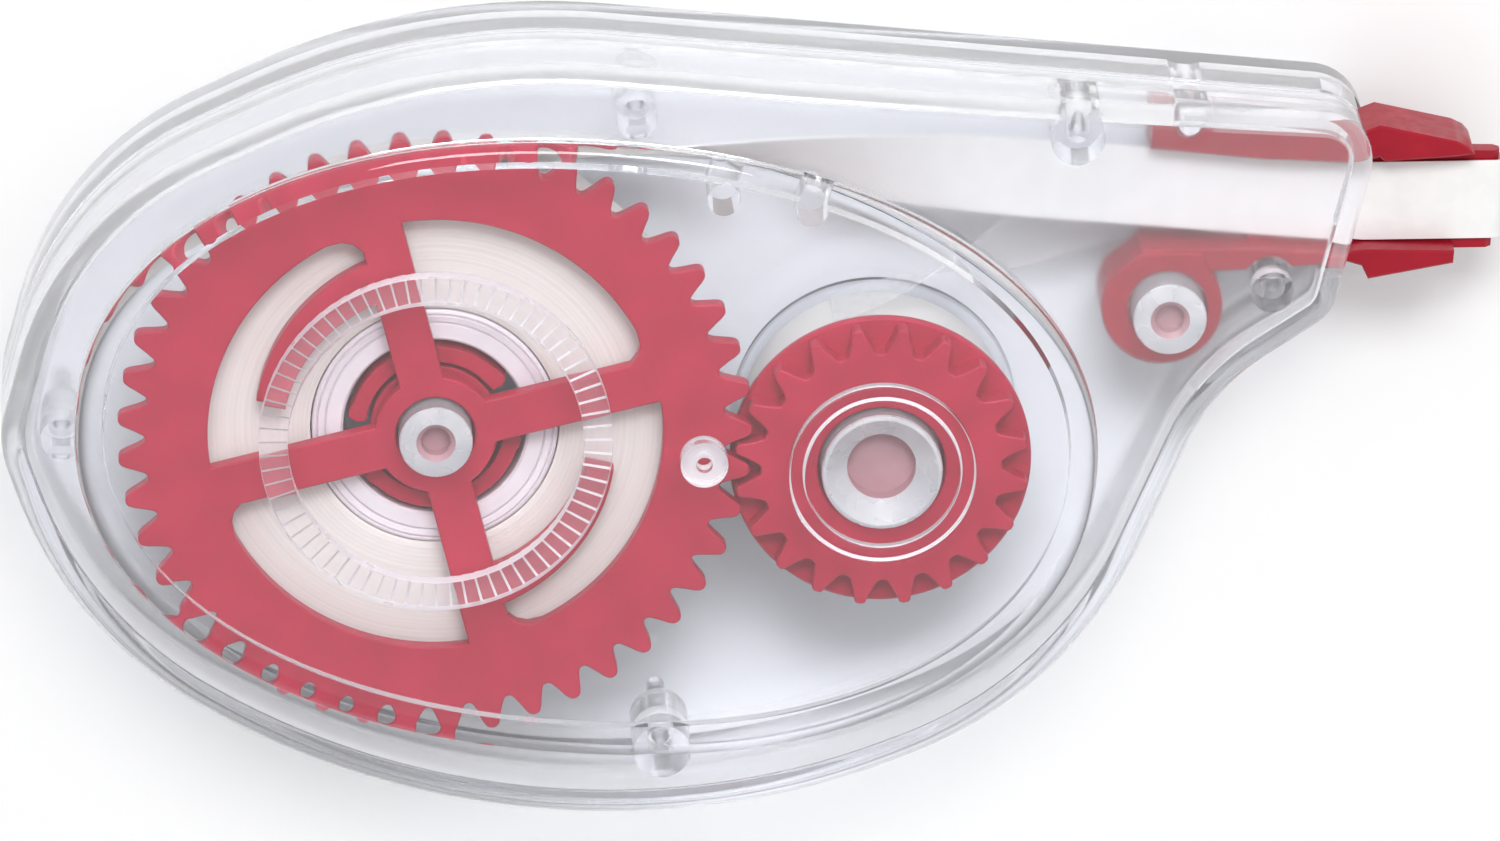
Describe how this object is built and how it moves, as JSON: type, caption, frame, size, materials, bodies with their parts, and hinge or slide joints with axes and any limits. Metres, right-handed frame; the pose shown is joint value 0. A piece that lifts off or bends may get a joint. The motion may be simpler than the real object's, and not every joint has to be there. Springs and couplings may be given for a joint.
{
  "type": "correction tape roller",
  "caption": "Flat clear teardrop case with a geared pair of tape reels inside and a slim applicator tip; rolls white correction tape onto paper.",
  "frame": {"origin": "middle of the back face's plane, under the centre of the overall plan box, with the case lying on its back", "axes": "+Z out of the front face, +X towards the applicator tip, +Y across the case"},
  "size_m": [0.0922, 0.0486, 0.015],
  "materials": {
    "clear_front": "clear, polished",
    "clear_rear": "clear, polished",
    "red_tip": "satin moulded",
    "white_tape": "chalky white",
    "milky_film": "translucent film",
    "red_supply_gear": "satin moulded",
    "red_clutch": "satin moulded",
    "white_core": "satin moulded",
    "cream_roll": "wound layers",
    "red_takeup_gear": "satin moulded",
    "white_film_roll": "wound layers",
    "clear_flange": "clear, polished"
  },
  "bodies": {
    "case": {"rear_shell": "clear_rear", "front_shell": "clear_front", "applicator_tip": "red_tip", "correction_tape": "white_tape", "spent_film": "milky_film"},
    "supply_drive": {"supply_gear": "red_supply_gear", "clutch_spring_ring": "red_clutch"},
    "supply_spool": {"supply_core": "white_core", "supply_tape_roll": "cream_roll"},
    "takeup_reel": {"takeup_gear": "red_takeup_gear", "takeup_film_roll": "white_film_roll", "takeup_rear_flange": "clear_flange"}
  },
  "joints": [
    {"name": "supply_gear_spin", "type": "hinge", "parent": "case", "child": "supply_drive", "pos_m": [-0.01974, 0.00041, 0.0113], "axis": [0, 0, 1], "continuous": true},
    {"name": "takeup_gear_spin", "type": "hinge", "parent": "case", "child": "takeup_reel", "pos_m": [0.00741, -0.00212, 0.0113], "axis": [0, 0, 1], "continuous": true},
    {"name": "spool_slip", "type": "hinge", "parent": "supply_drive", "child": "supply_spool", "pos_m": [-0.01974, 0.00041, 0.0077], "axis": [0, 0, 1], "continuous": true}
  ],
  "couplings": [
    {"joint": "takeup_gear_spin", "follows": "supply_gear_spin", "ratio": -2.25}
  ]
}
